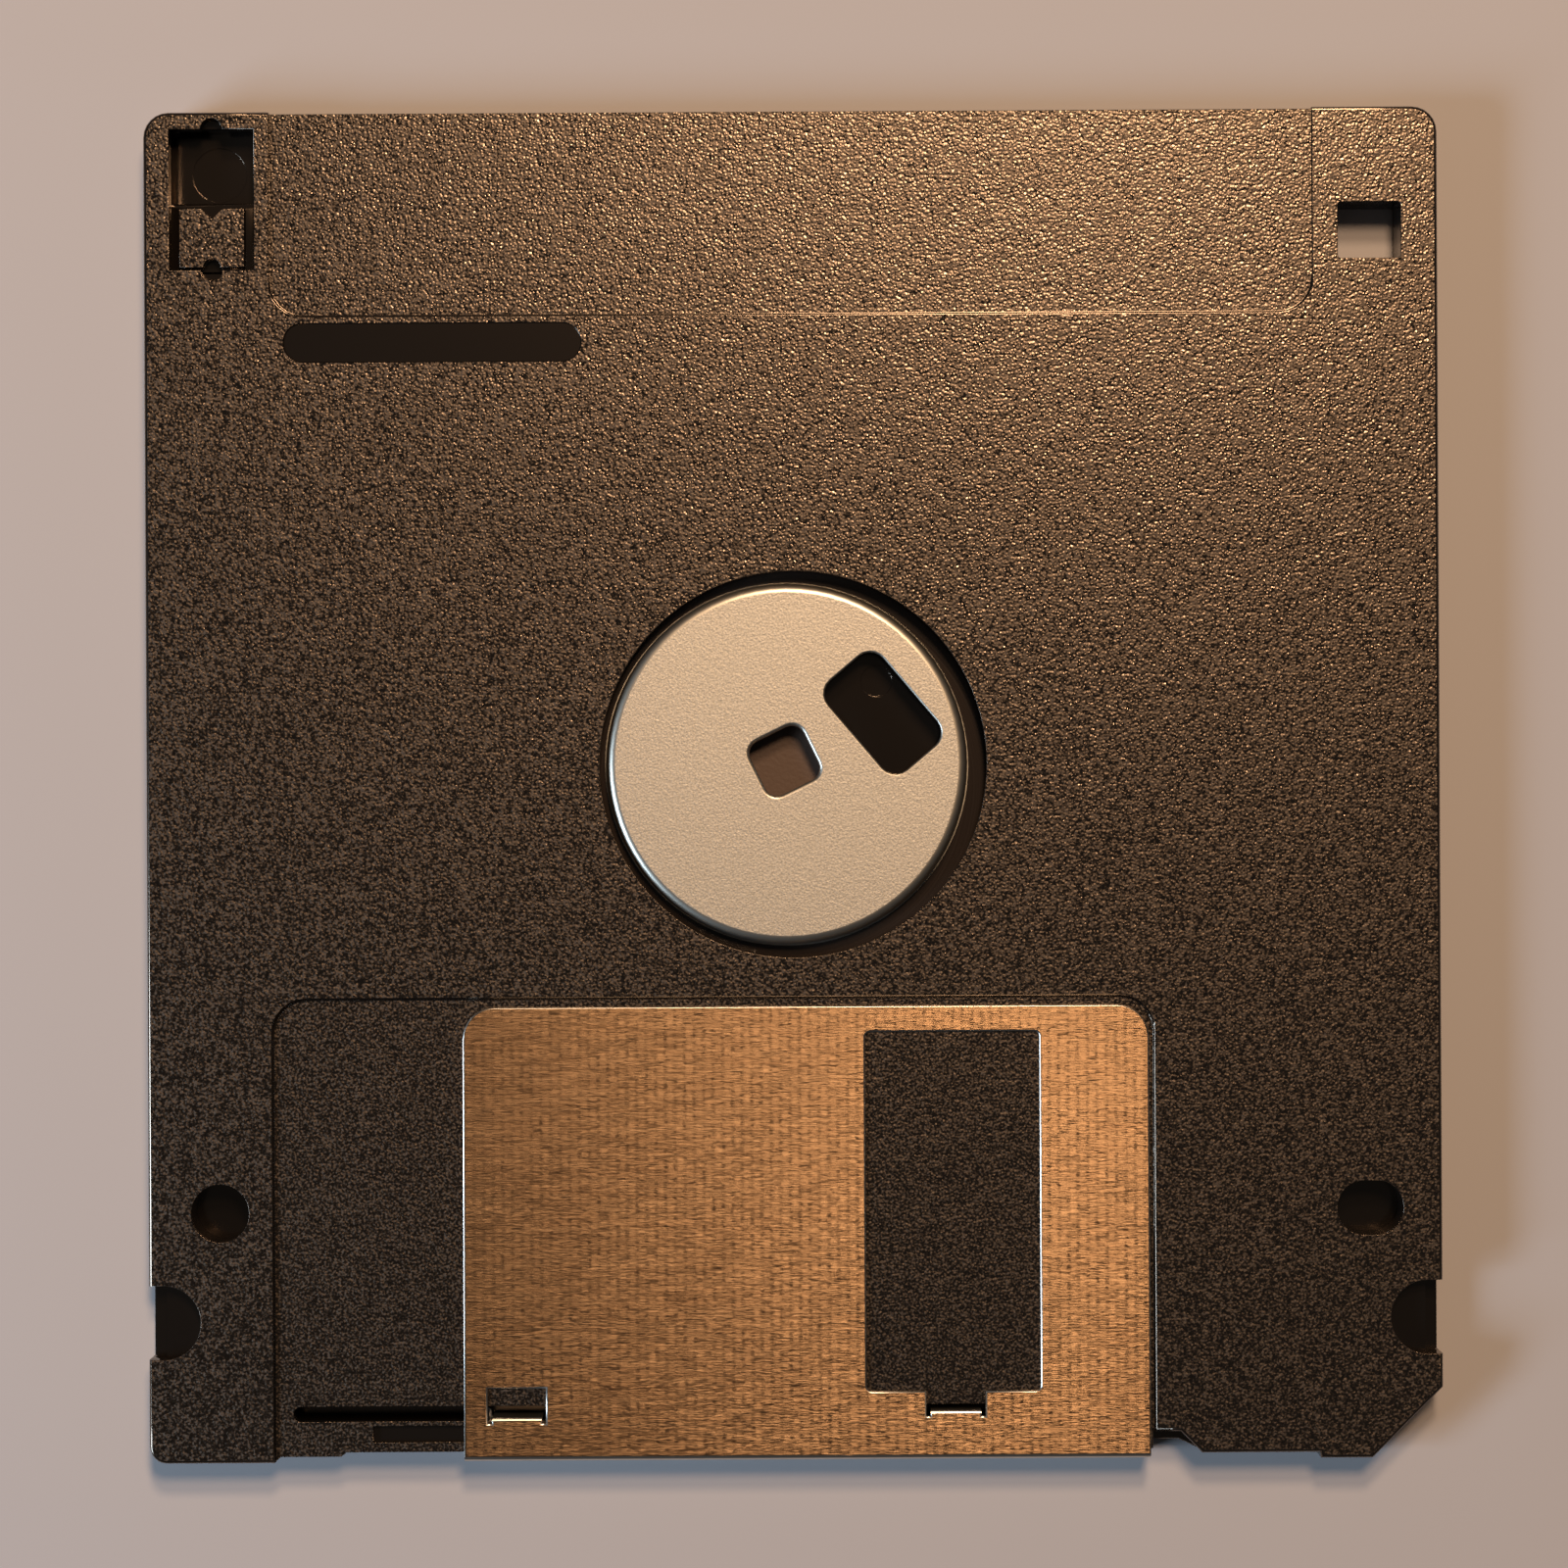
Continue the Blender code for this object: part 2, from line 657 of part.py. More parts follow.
def notch_outline(x_side, radius, outer):
    """A D seen from above, round toward the disc and open at the side."""
    x = SIDE - NOTCH_INSET
    y = FRONT + NOTCH_FROM_FRONT
    found = [(x_side * a, b) for a, b in arc(x, y, radius, 90, 270, 20)]
    return found + [(x_side * outer, y - radius), (x_side * outer, y + radius)]


def datum_outlines(extra):
    """The two locating holes, round at the left and oblong at the right."""
    x = SIDE - DATUM_INSET
    y = FRONT + DATUM_FROM_FRONT
    half_length = DATUM_SLOT_LENGTH / 2 + extra
    half_width = DATUM_SLOT_WIDTH / 2 + extra
    return [
        ("left", arc(-x, y, DATUM_RADIUS + extra, 0, 352.5, 47)),
        ("right", rounded_box(x - half_length, x + half_length, y - half_width,
                              y + half_width, 0.98 * half_width, 12)),
    ]


def build_back_shell():
    """The hub side of the case, which carries most of the openings."""
    shell = prism("back_shell", case_outline(LEVER_NOTCH_DEPTH), SEAM_HIGH, THICKNESS)
    round_edges(shell, THICKNESS, EDGE_ROUND, 3)
    round_edges(shell, SEAM_HIGH, SEAM_CHAMFER, 1)
    below = SEAM_HIGH - OVERCUT
    above = THICKNESS + OVERCUT
    into = CEILING + PANEL / 3
    under = CEILING - SEAM_GAP
    seat = FLOOR + SEAM_GAP
    blend_all(shell, "hollows", hollows("back", below, CEILING), "DIFFERENCE")

    wall, density = density_wall("back", SEAM_HIGH, into)
    walls = [wall, *tab_ribs("back", SEAM_HIGH, into)]
    for side, points in datum_outlines(DATUM_WALL):
        walls.append(prism(side + "_datum_wall", points, seat, into))
    for side, x_side in (("left", -1), ("right", 1)):
        block = notch_outline(x_side, NOTCH_RADIUS + NOTCH_WALL, SIDE - NOTCH_INSET / 2)
        walls.append(prism(side + "_notch_block", block, SEAM_HIGH, into))
    socket_bore = POST_RADIUS + POST_PLAY
    for name, x, y in post_places():
        walls.append(cylinder(name + "_socket", x, y, socket_bore + SOCKET_WALL,
                              SEAM_HIGH, into, 24))
    blend_all(shell, "walls", walls, "UNION")

    openings = [density, head_window("back_head_window")]
    for name, x, y in post_places():
        openings.append(cylinder(name + "_socket_bore", x, y, socket_bore, below,
                                 SEAM_LOW + SOCKET_DEPTH + POST_PLAY, 24))
    for side, points in datum_outlines(0):
        openings.append(prism(side + "_datum_hole", points, seat - OVERCUT, above))
    for side, x_side in (("left", -1), ("right", 1)):
        openings.extend(handling_notch(side, x_side, below, above))
    openings.append(cylinder("hub_opening", 0, POCKET_Y, HUB_OPENING, under, above, 96))
    openings.append(prism("guide_groove", rounded_box(
        GROOVE_LEFT, GROOVE_RIGHT, GROOVE_BOTTOM, GROOVE_TOP, 0.49 * GROOVE_WIDTH, 8),
        under, above))
    openings.append(tab_window(under, above))
    blend_all(shell, "openings", openings, "DIFFERENCE")

    recesses = [
        shutter_recess("back_shutter_recess", THICKNESS - SHUTTER_DEPTH, above),
        rail_pocket(above),
        label_recess("back_label_recess", BACK_LABEL_LENGTH,
                     THICKNESS - LABEL_RECESS_DEPTH, above),
        label_edge("back_label_edge"),
        smooth_stripe(above),
    ]
    blend_all(shell, "recesses", recesses, "DIFFERENCE")
    return finish(shell, plain_material("black case, hub side", (0.022, 0.019, 0.017),
                                        0.55, 0.0))


def handling_notch(side, x_side, below, above):
    """The thumb notch in one side: a D-shaped floor and an open side strip."""
    y = FRONT + NOTCH_FROM_FRONT
    inner = x_side * (SIDE - NOTCH_INSET)
    outer = x_side * (SIDE + OVERCUT)
    floor = prism(side + "_notch", notch_outline(x_side, NOTCH_RADIUS, SIDE + OVERCUT),
                  THICKNESS - NOTCH_DEPTH, above)
    strip = box(side + "_notch_side", min(inner, outer), max(inner, outer),
                y - NOTCH_RADIUS, y + NOTCH_RADIUS, below, THICKNESS - NOTCH_DEPTH / 2)
    return floor, strip


def rail_pocket(above):
    """A smooth trough in front of the groove, under the shutter's front strip."""
    left = LEFT_TAB_X - SHUTTER_TRAVEL + LEFT_TAB_WIDTH
    depth = SHUTTER_DEPTH + RAIL_POCKET_DEPTH
    return box("rail_pocket", left, GROOVE_RIGHT, RAIL_POCKET_BOTTOM, RAIL_POCKET_TOP,
               THICKNESS - depth, above)


def smooth_stripe(above):
    """The smooth stadium-shaped patch beside the label recess."""
    left = -LABEL_HALF + LABEL_RECESS_GAP
    top = REAR - BACK_LABEL_LENGTH - STRIPE_GAP
    return prism("smooth_stripe", rounded_box(left, left + STRIPE_LENGTH,
                                              top - STRIPE_WIDTH, top,
                                              0.49 * STRIPE_WIDTH, 10),
                 THICKNESS - STRIPE_DEPTH, above)


def tab_window(under, above):
    """The window that shows the write-protect tab, with a finger notch each end."""
    bottom = PLATE_BOTTOM
    top = TAB_WINDOW_TOP
    lower = arc(HOLE_X, bottom, TAB_NOTCH_RADIUS, 180, 360, 10)
    upper = arc(HOLE_X, top, TAB_NOTCH_RADIUS, 0, 180, 10)
    points = [(TAB_WINDOW_LEFT, bottom)] + lower + [(TAB_WINDOW_RIGHT, bottom),
                                                    (TAB_WINDOW_RIGHT, top)]
    points = points + upper + [(TAB_WINDOW_LEFT, top)]
    return prism("tab_window", points, under, above)


def build_front_shell():
    """The label side of the case."""
    shell = prism("front_shell", case_outline(LEVER_NOTCH_DEPTH - LEVER_NOTCH_LIP), 0,
                  SEAM_LOW)
    round_edges(shell, 0, EDGE_ROUND, 3)
    round_edges(shell, SEAM_LOW, SEAM_CHAMFER, 1)
    above = SEAM_LOW + OVERCUT
    into = FLOOR - PANEL / 3
    blend_all(shell, "hollows", hollows("front", FLOOR, above), "DIFFERENCE")

    marks = [
        cylinder("corner_ejector_mark", CORNER_EJECTOR_INSET - SIDE,
                 REAR - REAR_WALL - CORNER_EJECTOR_GAP - CORNER_EJECTOR_RADIUS,
                 CORNER_EJECTOR_RADIUS, FLOOR - EJECTOR_DEPTH, FLOOR + EJECTOR_DEPTH, 32),
        cylinder("slot_ejector_mark", HUB_X + SLOT_EJECTOR_X, HUB_Y + SLOT_EJECTOR_Y,
                 SLOT_EJECTOR_RADIUS, FLOOR - EJECTOR_DEPTH, FLOOR + EJECTOR_DEPTH, 24),
    ]
    blend_all(shell, "ejector_marks", marks, "DIFFERENCE")

    wall, density = density_wall("front", into, SEAM_LOW)
    walls = [wall, *tab_ribs("front", into, SEAM_LOW)]
    for name, x, y in post_places():
        walls.append(cylinder(name + "_post", x, y, POST_RADIUS, into,
                              SEAM_LOW + SOCKET_DEPTH, 24))
    blend_all(shell, "walls", walls, "UNION")

    left, bottom = lifter_corner()
    openings = [
        density,
        prism("protect_hole", hole_outline(-1), -OVERCUT, above),
        head_window("front_head_window"),
        box("lifter_pocket", left - LIFTER_PLAY, left + LIFTER_LENGTH + LIFTER_PLAY,
            bottom - LIFTER_PLAY, bottom + LIFTER_WIDTH + LIFTER_PLAY,
            FLOOR - LIFTER_SHEET - 2 * SEAT_GAP, above),
    ]
    for side, x_side in (("left", -1), ("right", 1)):
        y = FRONT + NOTCH_FROM_FRONT
        inner = x_side * (SIDE - NOTCH_STEP)
        outer = x_side * (SIDE + OVERCUT)
        openings.append(box(side + "_notch_step", min(inner, outer), max(inner, outer),
                            y - NOTCH_RADIUS, y + NOTCH_RADIUS, SEAM_LOW / 2, above))
    blend_all(shell, "openings", openings, "DIFFERENCE")

    recesses = [
        shutter_recess("front_shutter_recess", -OVERCUT, SHUTTER_DEPTH),
        label_recess("front_label_recess", FRONT_LABEL_LENGTH, -OVERCUT,
                     LABEL_RECESS_DEPTH),
        label_edge("front_label_edge"),
    ]
    blend_all(shell, "recesses", recesses, "DIFFERENCE")
    return finish(shell, plain_material("black case, label side", (0.022, 0.019, 0.017),
                                        0.55, 0.0))


def lifter_corner():
    return HEAD_HALF + LIFTER_FROM_WINDOW, HEAD_TOP - LIFTER_WIDTH / 2


def lanced_tab(name, left, right, front):
    """A tab bent down from the sheet; front is the y of its front face."""
    over = THICKNESS - SHUTTER_SINK
    under = over - SHUTTER_SHEET
    outer = TAB_BEND + SHUTTER_SHEET
    root = front - TAB_BEND
    hold = root - TAB_RELIEF_DEPTH - SHUTTER_SHEET
    inner_arc = arc(root, under - TAB_BEND, TAB_BEND, 90, 0, 4)
    outer_arc = arc(root, under - TAB_BEND, outer, 0, 90, 6)
    bottom = under - TAB_DROP
    section = [(hold, under)] + inner_arc
    section = section + [(front, bottom), (front + SHUTTER_SHEET, bottom)]
    section = section + outer_arc + [(hold, over)]
    return across(name, section, left, right)


def build_shutter():
    """A strip of sheet folded round the front edge, then pierced and lanced."""
    middle_low = SHUTTER_SINK + SHUTTER_SHEET / 2
    middle_high = THICKNESS - middle_low
    front = SHUTTER_FRONT + SHUTTER_SHEET / 2
    bend = SHUTTER_FOLD_RADIUS + SHUTTER_SHEET / 2
    open_end = SHUTTER_TOP + OVERCUT
    fold_top = arc(front + bend, middle_high - bend, bend, 90, 180, 5)
    fold_low = arc(front + bend, middle_low + bend, bend, 180, 270, 5)
    section = [(open_end, middle_high)] + fold_top + fold_low
    section = section + [(open_end, middle_low)]
    bm = bmesh.new()
    start = SHUTTER_LEFT - OVERCUT
    verts = [bm.verts.new((start, y, z)) for y, z in section]
    for first, second in zip(verts, verts[1:]):
        bm.edges.new((first, second))
    grown = bmesh.ops.extrude_edge_only(bm, edges=bm.edges[:])["geom"]
    moved = [item for item in grown if isinstance(item, bmesh.types.BMVert)]
    run = SHUTTER_RIGHT + OVERCUT - start
    bmesh.ops.translate(bm, verts=moved, vec=(run, 0, 0))
    shutter = mesh_object("shutter", bm)
    sheet = shutter.modifiers.new("sheet", "SOLIDIFY")
    sheet.thickness = SHUTTER_SHEET
    sheet.offset = 0
    sheet.use_even_offset = True

    outline = prism("shutter_outline", rounded([
        (SHUTTER_LEFT, FRONT - OVERCUT, 0),
        (SHUTTER_RIGHT, FRONT - OVERCUT, 0),
        (SHUTTER_RIGHT, SHUTTER_TOP, SHUTTER_CORNER),
        (SHUTTER_LEFT, SHUTTER_TOP, SHUTTER_CORNER),
    ], 8), -OVERCUT, THICKNESS + OVERCUT)
    blend(shutter, outline, "INTERSECT")
    cut(shutter, prism("shutter_window", rounded_box(
        WINDOW_LEFT, WINDOW_RIGHT, WINDOW_BOTTOM, WINDOW_TOP, SHUTTER_WINDOW_CORNER, 3),
        -OVERCUT, THICKNESS + OVERCUT))

    left_front = GROOVE_BOTTOM + TAB_GROOVE_GAP
    right_front = left_front + RIGHT_TAB_STEP
    left_root = left_front - TAB_BEND - TAB_RELIEF_DEPTH
    right_root = right_front - TAB_BEND - TAB_RELIEF_DEPTH
    middle = THICKNESS / 2
    above = THICKNESS + OVERCUT
    cut(shutter, box("left_tab_opening", LEFT_TAB_X, LEFT_TAB_X + LEFT_TAB_WIDTH, left_root,
                     left_front + SHUTTER_SHEET + LEFT_TAB_OPENING, middle, above))
    cut(shutter, box("right_tab_opening", RIGHT_TAB_X, RIGHT_TAB_X + RIGHT_TAB_WIDTH,
                     right_root, WINDOW_BOTTOM + SHUTTER_WINDOW_CORNER * 2, middle, above))
    join(shutter, lanced_tab("left_tab", LEFT_TAB_X + TAB_RELIEF_WIDTH,
                             LEFT_TAB_X + LEFT_TAB_WIDTH - TAB_RELIEF_WIDTH, left_front))
    join(shutter, lanced_tab("right_tab", RIGHT_TAB_X + TAB_RELIEF_WIDTH,
                             RIGHT_TAB_X + RIGHT_TAB_WIDTH - TAB_RELIEF_WIDTH, right_front))
    return finish(shutter, plain_material("brushed steel", (0.40, 0.31, 0.22), 0.38, 1.0))


def build_spring():
    """A V of wire with one full coil at its point, between the case and the tab."""
    tab_edge = LEFT_TAB_X + TAB_RELIEF_WIDTH
    line = GROOVE_BOTTOM + TAB_GROOVE_GAP + SHUTTER_SHEET / 2
    hook_x = tab_edge - WIRE_RADIUS - 3 * SEAT_GAP
    moving = Vector((hook_x, line + SPRING_HOOK / 2))
    anchor = Vector((-INNER_SIDE + SPRING_WALL_ROOM,
                     CHANNEL_FRONT + SPRING_WALL_ROOM - WIRE_RADIUS))
    centre = Vector(((moving.x + anchor.x) / 2, line + SPRING_HEIGHT - COIL_RADIUS))

    def tangent(point, side):
        away = point - centre
        lean = math.acos(COIL_RADIUS / away.length)
        return math.atan2(away.y, away.x) + side * lean

    start = tangent(anchor, -1) % (2 * math.pi)
    end = tangent(moving, 1) % (2 * math.pi)
    sweep = 2 * math.pi + start - end
    rise = (2 * WIRE_RADIUS + COIL_GAP) * sweep / (2 * math.pi)
    low = THICKNESS / 2 - rise / 2
    high = low + rise
    points = [(anchor.x - SPRING_HOOK / 2, anchor.y + SPRING_HOOK, low),
              (anchor.x, anchor.y, low)]
    steps = 22
    for step in range(steps + 1):
        angle = start - sweep * step / steps
        points.append((centre.x + COIL_RADIUS * math.cos(angle),
                       centre.y + COIL_RADIUS * math.sin(angle),
                       low + rise * step / steps))
    points.append((moving.x, moving.y, high))
    points.append((moving.x, moving.y - SPRING_HOOK, high))

    wire = bpy.data.curves.new("shutter_spring", "CURVE")
    wire.dimensions = "3D"
    wire.bevel_depth = WIRE_RADIUS
    wire.bevel_resolution = 2
    wire.use_fill_caps = True
    spline = wire.splines.new("POLY")
    spline.points.add(len(points) - 1)
    for place, point in zip(spline.points, points):
        place.co = (*point, 1)
    spline.use_smooth = True
    spring = bpy.data.objects.new("shutter_spring", wire)
    wire.materials.append(plain_material("spring wire", (0.55, 0.54, 0.52), 0.3, 1.0))
    PIECES.objects.link(spring)
    return spring


def build_tab():
    """The write-protect tab: a plate in the corner and a ribbed pad in the window."""
    top = CEILING - SLIDE_GAP
    pad_half = TAB_WINDOW_WIDTH / 2 - TAB_PAD_INSET
    pad_bottom = PLATE_BOTTOM + TAB_PAD_FRONT_MARGIN
    pad_top = PLATE_BOTTOM + PLATE_LENGTH - TAB_PAD_REAR_MARGIN
    plate = prism("write_protect_tab", rounded_box(
        PLATE_LEFT, PLATE_RIGHT, PLATE_BOTTOM, PLATE_BOTTOM + PLATE_LENGTH, HOLE_CORNER, 2),
        FLOOR + SLIDE_GAP, top)
    points = [(HOLE_X - pad_half, pad_bottom)]
    points = points + arc(HOLE_X, pad_bottom, TAB_PAD_SCOOP, 180, 0, 10)
    points = points + [
        (HOLE_X + pad_half, pad_bottom),
        (HOLE_X + pad_half, pad_top),
        (HOLE_X + TAB_PAD_VEE_WIDTH / 2, pad_top),
        (HOLE_X, pad_top - TAB_PAD_VEE_DEPTH),
        (HOLE_X - TAB_PAD_VEE_WIDTH / 2, pad_top),
        (HOLE_X - pad_half, pad_top),
    ]
    pad = prism("tab_pad", points, top - PANEL / 2, THICKNESS - TAB_PAD_SINK)
    join(plate, pad)
    return finish(plate, plain_material("black tab", (0.018, 0.016, 0.015), 0.5, 0.0))


def build_hub(spindle):
    """A cup pressed from sheet: a turned profile, then the two drive holes."""
    inner = HUB_RADIUS - HUB_SHEET
    rim = HUB_RIM_RADIUS
    inside_rim = max(rim - HUB_SHEET, rim * 0.2)
    under = HUB_TOP - HUB_SHEET
    outside = arc(HUB_RADIUS - rim, HUB_TOP - rim, rim, 90, 0, 6)
    inside = arc(inner - inside_rim, under - inside_rim, inside_rim, 0, 90, 4)
    profile = [(0, HUB_TOP)] + outside
    profile = profile + [(HUB_RADIUS, HUB_BASE + HUB_SHEET),
                         (FLANGE_RADIUS, HUB_BASE + HUB_SHEET),
                         (FLANGE_RADIUS, HUB_BASE), (inner, HUB_BASE)]
    profile = profile + inside + [(0, under)]
    bm = bmesh.new()
    verts = [bm.verts.new((radius, 0, z)) for radius, z in profile]
    for first, second in zip(verts, verts[1:]):
        bm.edges.new((first, second))
    hub = mesh_object("hub", bm)
    turned = hub.modifiers.new("turned", "SCREW")
    turned.angle = 2 * math.pi
    turned.steps = 72
    turned.render_steps = 72
    turned.axis = "Z"
    turned.use_merge_vertices = True
    turned.merge_threshold = 0.000001
    turned.use_smooth_shade = True
    carried(hub, spindle)

    square = prism("spindle_hole", rounded_box(
        -SPINDLE_HOLE / 2, SPINDLE_HOLE / 2, -SPINDLE_HOLE / 2, SPINDLE_HOLE / 2,
        SPINDLE_HOLE_CORNER, 5), HUB_BASE, HUB_TOP + OVERCUT)
    slot = prism("drive_slot", rounded_box(
        -DRIVE_SLOT_LENGTH / 2, DRIVE_SLOT_LENGTH / 2, -DRIVE_SLOT_WIDTH / 2,
        DRIVE_SLOT_WIDTH / 2, DRIVE_SLOT_CORNER, 5), HUB_BASE, HUB_TOP + OVERCUT)
    square.rotation_euler.z = SPINDLE_HOLE_TURN
    square.location.x = SPINDLE_HOLE_X
    square.location.y = SPINDLE_HOLE_Y
    slot.rotation_euler.z = DRIVE_SLOT_TURN
    slot.location.x = DRIVE_SLOT_RADIUS * math.cos(DRIVE_SLOT_ANGLE)
    slot.location.y = DRIVE_SLOT_RADIUS * math.sin(DRIVE_SLOT_ANGLE)
    carried(square, spindle)
    carried(slot, spindle)
    cut(hub, square, slot)
    steel = plain_material("bead-blasted steel", (0.62, 0.52, 0.42), 0.42, 1.0)
    return finish(hub, steel)


def ring(name, holder, outer, inner, low, high, segments):
    """A flat ring about its holder, or about the pocket's centre without one."""
    x, y = (0, 0) if holder else (0, POCKET_Y)
    made = cylinder(name, x, y, outer, low, high, segments)
    bore = cylinder(name + "_bore", x, y, inner, low - OVERCUT, high + OVERCUT, segments)
    if holder:
        carried(made, holder)
        carried(bore, holder)
    cut(made, bore)
    return made


def build_disc(spindle):
    """The magnetic disc and the ring of adhesive that bonds it to the flange."""
    disc = ring("magnetic_disc", spindle, DISC_RADIUS, DISC_HOLE, DISC_BASE,
                DISC_BASE + DISC_THICKNESS, 96)
    film = plain_material("magnetic coating", (0.035, 0.024, 0.018), 0.25, 0.0)
    bond = ring("hub_adhesive_ring", spindle, FLANGE_RADIUS - ADHESIVE_INSET,
                DISC_HOLE + ADHESIVE_INSET, ADHESIVE_BASE,
                ADHESIVE_BASE + ADHESIVE_THICKNESS, 64)
    glue = plain_material("adhesive", (0.6, 0.58, 0.5), 0.6, 0.0)
    return finish(disc, film), finish(bond, glue)


def build_liner(name, low):
    """A fabric ring with a slot where the heads reach the disc."""
    liner = ring(name, None, LINER_RADIUS, LINER_HOLE, low, low + LINER_THICKNESS, 72)
    slot = HEAD_HALF + LINER_SLOT_MARGIN
    cut(liner, box(name + "_slot", -slot, slot, POCKET_Y - LINER_RADIUS - OVERCUT,
                   HEAD_TOP + LINER_SLOT_MARGIN, low - OVERCUT,
                   low + LINER_THICKNESS + OVERCUT))
    return finish(liner, plain_material(name + " fabric", (0.75, 0.74, 0.72), 0.95, 0.0))


def build_small_pieces():
    left, bottom = lifter_corner()
    low = FLOOR - LIFTER_SHEET - SEAT_GAP
    lifter = prism("liner_lifter", rounded_box(
        left, left + LIFTER_LENGTH, bottom, bottom + LIFTER_WIDTH, LIFTER_PLAY * 4, 4),
        low, low + LIFTER_SHEET)
    finish(lifter, plain_material("polyester film", (0.8, 0.79, 0.74), 0.3, 0.0))
    pad = cylinder("hub_wear_pad", 0, POCKET_Y, PAD_RADIUS, FLOOR + SEAT_GAP,
                   FLOOR + SEAT_GAP + PAD_THICKNESS, 40)
    finish(pad, plain_material("wear pad", (0.10, 0.06, 0.045), 0.7, 0.0))


clear_scene()
PIECES = new_collection("floppy disk")
CUTTERS = new_collection("cutters")
PLANNED = []

spindle_axis = axis_marker("spindle_axis", HUB_X, HUB_Y, 0)
build_hub(spindle_axis)
build_disc(spindle_axis)
shutter_piece = build_shutter()
carried_in_place(shutter_piece, axis_marker("shutter_slide", SHUTTER_LEFT, SHUTTER_FRONT, 0))
tab_piece = build_tab()
carried_in_place(tab_piece, axis_marker("tab_slide", HOLE_X, HOLE_Y, 0))
build_spring()
build_liner("lower_liner", LOWER_LINER)
build_liner("upper_liner", UPPER_LINER)
build_small_pieces()
build_back_shell()
build_front_shell()
add_booleans()
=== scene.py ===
import bpy
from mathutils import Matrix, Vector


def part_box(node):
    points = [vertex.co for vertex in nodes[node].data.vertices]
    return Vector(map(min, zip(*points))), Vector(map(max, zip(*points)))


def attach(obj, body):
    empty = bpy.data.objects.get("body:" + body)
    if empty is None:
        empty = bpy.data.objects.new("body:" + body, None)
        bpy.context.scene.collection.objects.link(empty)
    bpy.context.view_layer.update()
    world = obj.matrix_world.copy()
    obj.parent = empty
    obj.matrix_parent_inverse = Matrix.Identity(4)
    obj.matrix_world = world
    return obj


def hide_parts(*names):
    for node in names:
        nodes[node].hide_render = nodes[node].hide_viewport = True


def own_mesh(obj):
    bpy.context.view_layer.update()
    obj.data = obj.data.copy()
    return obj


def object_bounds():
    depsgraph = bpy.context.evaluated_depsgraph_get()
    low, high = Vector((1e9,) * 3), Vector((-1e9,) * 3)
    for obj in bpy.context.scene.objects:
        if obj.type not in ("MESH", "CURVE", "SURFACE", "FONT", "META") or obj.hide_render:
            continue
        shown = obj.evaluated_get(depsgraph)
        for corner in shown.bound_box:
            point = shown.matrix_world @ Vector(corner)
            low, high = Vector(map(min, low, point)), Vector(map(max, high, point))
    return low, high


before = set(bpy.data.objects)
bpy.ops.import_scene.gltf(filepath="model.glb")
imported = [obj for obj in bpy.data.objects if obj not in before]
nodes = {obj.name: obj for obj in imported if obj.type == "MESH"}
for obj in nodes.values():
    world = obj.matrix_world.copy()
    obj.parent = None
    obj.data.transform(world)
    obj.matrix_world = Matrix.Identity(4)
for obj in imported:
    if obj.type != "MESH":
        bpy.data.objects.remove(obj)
bpy.context.view_layer.update()
cad_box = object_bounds()

# %% [markdown]
# # A 3.5 inch floppy disk, hub side up
# The measured solids of the disk are already loaded as a frame, in metres, with
# the label side down on z = 0 and the shutter end toward -Y. This lesson gives
# every one of them its finish, and remodels the pieces whose small rounded
# edges catch the light.

# %% Tools
import math

import bmesh
from mathutils import Vector

MM = 0.001
low, high = cad_box
print("case", [round((b - a) / MM, 2) for a, b in zip(low, high)], "mm")

# %% [markdown]
# ## Camera
# The picture was taken from almost straight above with a phone. The case's
# inner walls lean outward a little in it, which puts the lens about 235 mm
# above the hub side. A camera at that height with a 13 degree half angle sees
# 109 mm of the hub side, as the picture does. The disk sat a hair off square,
# so the camera is rolled by the same third of a degree.

# %% Camera
CAMERA_HEIGHT = 235 * MM
VIEW_WIDTH = 109 * MM
camera_data = bpy.data.cameras.new("camera")
camera_data.sensor_width = 36
camera_data.lens = 36 * CAMERA_HEIGHT / VIEW_WIDTH
camera_data.clip_start = 0.01
camera = bpy.data.objects.new("camera", camera_data)
camera.location = (-0.64 * MM, 0.07 * MM, high[2] + CAMERA_HEIGHT)
camera.rotation_euler = (0, 0, math.radians(-0.3))
bpy.context.scene.collection.objects.link(camera)
bpy.context.scene.camera = camera
print("lens", round(camera_data.lens, 1), "mm")

# %% [markdown]
# ## Writing shaders as sums
# A node tree is easier to read as arithmetic. `Wire` wraps one output socket
# and adds a Math node for every operator, in both orders, so `1 - mask` works.
# `Recipe` owns a material and has one method that adds any other node: its
# settings first, then the values or links of its sockets.

# %% Shader helpers
class Wire:
    def __init__(self, recipe, socket):
        self.recipe = recipe
        self.socket = socket

    def maths(self, operation, first, second):
        node = self.recipe.add("ShaderNodeMath", {"operation": operation},
                               {0: first, 1: second})
        return Wire(self.recipe, node.outputs[0])

    def __add__(self, other):
        return self.maths("ADD", self, other)

    def __radd__(self, other):
        return self.maths("ADD", other, self)

    def __sub__(self, other):
        return self.maths("SUBTRACT", self, other)

    def __rsub__(self, other):
        return self.maths("SUBTRACT", other, self)

    def __mul__(self, other):
        return self.maths("MULTIPLY", self, other)

    def __rmul__(self, other):
        return self.maths("MULTIPLY", other, self)

    def __gt__(self, other):
        return self.maths("GREATER_THAN", self, other)

    def __lt__(self, other):
        return self.maths("LESS_THAN", self, other)


